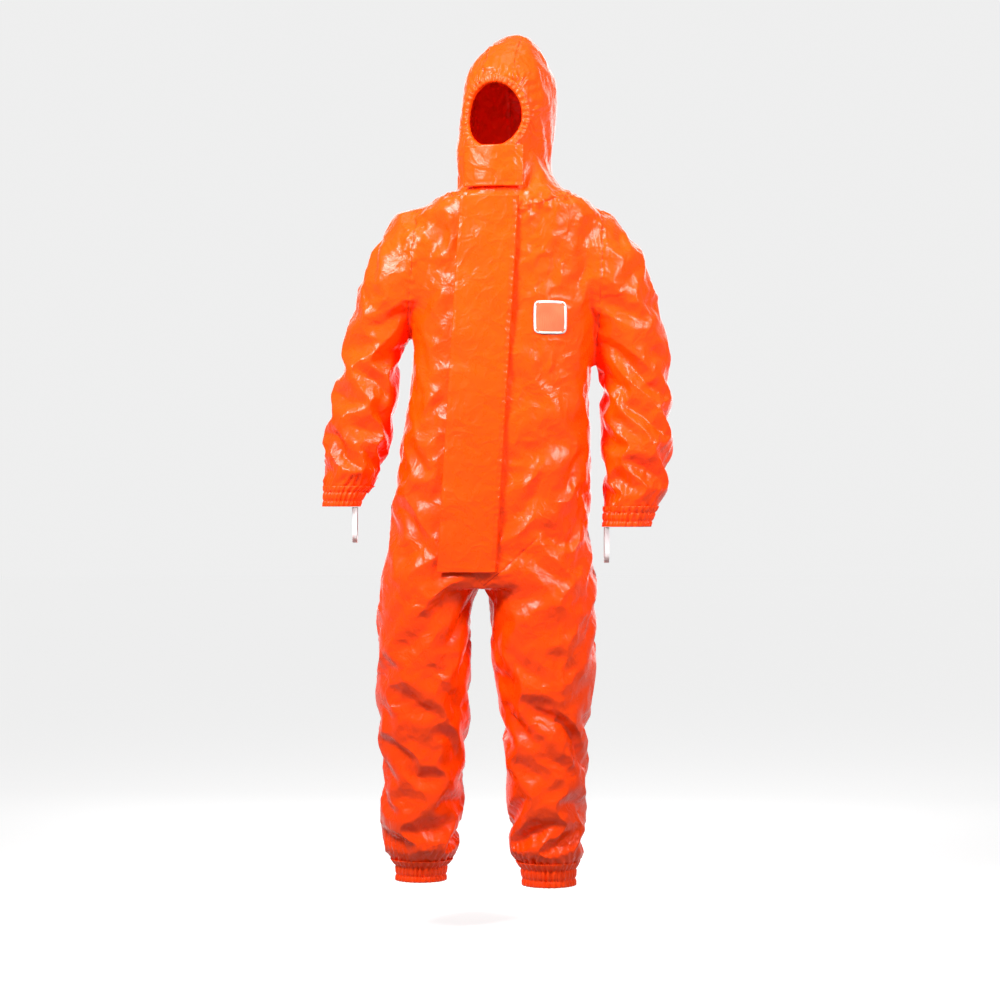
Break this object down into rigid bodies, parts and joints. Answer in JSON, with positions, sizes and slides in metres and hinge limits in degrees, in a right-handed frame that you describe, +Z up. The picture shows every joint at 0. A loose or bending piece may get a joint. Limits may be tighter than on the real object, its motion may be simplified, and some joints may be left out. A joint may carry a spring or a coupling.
{
  "type": "chemical protective suit",
  "caption": "Hooded one-piece protective coverall of coated film with a zip under a storm flap, chin flap, elastic hood, waist, cuffs and ankles, and thumb loops.",
  "frame": {"origin": "middle of the neck base, where the suit rests on the wearer's shoulders", "axes": "+Z up, the wearer faces -Y, +X is the wearer's left"},
  "size_m": [0.7264, 0.2924, 1.7691],
  "materials": {
    "film": "glossy coated film",
    "elastic": "matt gathered elastic",
    "zip_tape": "woven tape",
    "zip_plastic": "satin",
    "liner": "release paper",
    "white_elastic": "knitted elastic",
    "patch": "printed label, plain"
  },
  "bodies": {
    "root": {"front_panel_right": "film", "front_panel_left": "film", "back_panel_right": "film", "back_panel_left": "film", "neck_section": "film", "shoulder_section_right": "film", "shoulder_section_left": "film", "hip_section_right": "film", "hip_section_left": "film", "crotch_gusset": "film", "waist_elastic": "elastic", "inner_zip_flap": "film", "zip_tape_left": "zip_tape", "zip_tape_right": "zip_tape", "zip_teeth": "zip_plastic", "zip_top_stop": "zip_plastic", "zip_bottom_stop": "zip_plastic", "chest_patch": "patch"},
    "zip_slider": {"zip_slider": "zip_plastic"},
    "zip_pull": {"zip_pull": "zip_plastic"},
    "storm_flap": {"storm_flap": "film", "storm_flap_adhesive": "liner"},
    "hood": {"hood_centre": "film", "hood_side_right": "film", "hood_side_left": "film", "face_hem": "film", "face_elastic": "elastic"},
    "chin_flap": {"chin_flap": "film", "chin_flap_adhesive": "liner"},
    "upper_arm_right": {"upper_sleeve_right": "film", "elbow_section_right": "film"},
    "forearm_right": {"forearm_sleeve_right": "film", "cuff_hem_right": "film", "cuff_elastic_right": "elastic"},
    "thumb_loop_right": {"thumb_loop_right": "white_elastic"},
    "thigh_right": {"thigh_right": "film", "knee_section_right": "film"},
    "shin_right": {"shin_right": "film", "ankle_hem_right": "film", "ankle_elastic_right": "elastic"},
    "upper_arm_left": {"upper_sleeve_left": "film", "elbow_section_left": "film"},
    "forearm_left": {"forearm_sleeve_left": "film", "cuff_hem_left": "film", "cuff_elastic_left": "elastic"},
    "thumb_loop_left": {"thumb_loop_left": "white_elastic"},
    "thigh_left": {"thigh_left": "film", "knee_section_left": "film"},
    "shin_left": {"shin_left": "film", "ankle_hem_left": "film", "ankle_elastic_left": "elastic"}
  },
  "joints": [
    {"name": "zip_slide", "type": "slide", "parent": "root", "child": "zip_slider", "axis": [-0.0614, 0, -0.9981], "range_m": [0, 0.7]},
    {"name": "zip_pull_lift", "type": "hinge", "parent": "zip_slider", "child": "zip_pull", "pos_m": [-0.01177, -0.141, -0.045], "axis": [-1, 0, 0], "range_deg": [0, 5]},
    {"name": "storm_flap_open", "type": "hinge", "parent": "root", "child": "storm_flap", "pos_m": [0.01575, -0.146, -0.004], "axis": [0.0614, 0, 0.9981], "range_deg": [0, 150]},
    {"name": "hood_tilt", "type": "hinge", "parent": "root", "child": "hood", "pos_m": [-0.004, 0.03, 0], "axis": [-1, 0, 0], "range_deg": [-4, 12], "deforming": ["neck_section"]},
    {"name": "chin_flap_open", "type": "hinge", "parent": "hood", "child": "chin_flap", "pos_m": [0.02594, -0.12792, 0.1], "axis": [0, 0, 1], "range_deg": [0, 140]},
    {"name": "shoulder_right", "type": "hinge", "parent": "root", "child": "upper_arm_right", "pos_m": [-0.2, 0.008, -0.13], "axis": [-1, 0, 0], "range_deg": [-15, 45], "deforming": ["shoulder_section_right"]},
    {"name": "elbow_right", "type": "hinge", "parent": "upper_arm_right", "child": "forearm_right", "pos_m": [-0.298, 0.018, -0.405], "axis": [-1, 0, 0], "range_deg": [0, 65], "deforming": ["elbow_section_right"]},
    {"name": "thumb_loop_swing_right", "type": "hinge", "parent": "forearm_right", "child": "thumb_loop_right", "pos_m": [-0.324, -0.016, -0.64], "axis": [0, 1, 0], "range_deg": [0, 30]},
    {"name": "hip_right", "type": "hinge", "parent": "root", "child": "thigh_right", "pos_m": [-0.17, 0, -0.77], "axis": [-1, 0, 0], "range_deg": [-12, 45], "deforming": ["hip_section_right"]},
    {"name": "knee_right", "type": "hinge", "parent": "thigh_right", "child": "shin_right", "pos_m": [-0.181, 0, -1.085], "axis": [1, 0, 0], "range_deg": [0, 60], "deforming": ["knee_section_right"]},
    {"name": "shoulder_left", "type": "hinge", "parent": "root", "child": "upper_arm_left", "pos_m": [0.18, 0.008, -0.13], "axis": [-1, 0, 0], "range_deg": [-15, 45], "deforming": ["shoulder_section_left"]},
    {"name": "elbow_left", "type": "hinge", "parent": "upper_arm_left", "child": "forearm_left", "pos_m": [0.259, 0.018, -0.405], "axis": [-1, 0, 0], "range_deg": [0, 65], "deforming": ["elbow_section_left"]},
    {"name": "thumb_loop_swing_left", "type": "hinge", "parent": "forearm_left", "child": "thumb_loop_left", "pos_m": [0.199, -0.016, -0.682], "axis": [0, -1, 0], "range_deg": [0, 30]},
    {"name": "hip_left", "type": "hinge", "parent": "root", "child": "thigh_left", "pos_m": [0.063, 0, -0.77], "axis": [-1, 0, 0], "range_deg": [-12, 45], "deforming": ["hip_section_left"]},
    {"name": "knee_left", "type": "hinge", "parent": "thigh_left", "child": "shin_left", "pos_m": [0.072, 0, -1.085], "axis": [1, 0, 0], "range_deg": [0, 60], "deforming": ["knee_section_left"]}
  ]
}
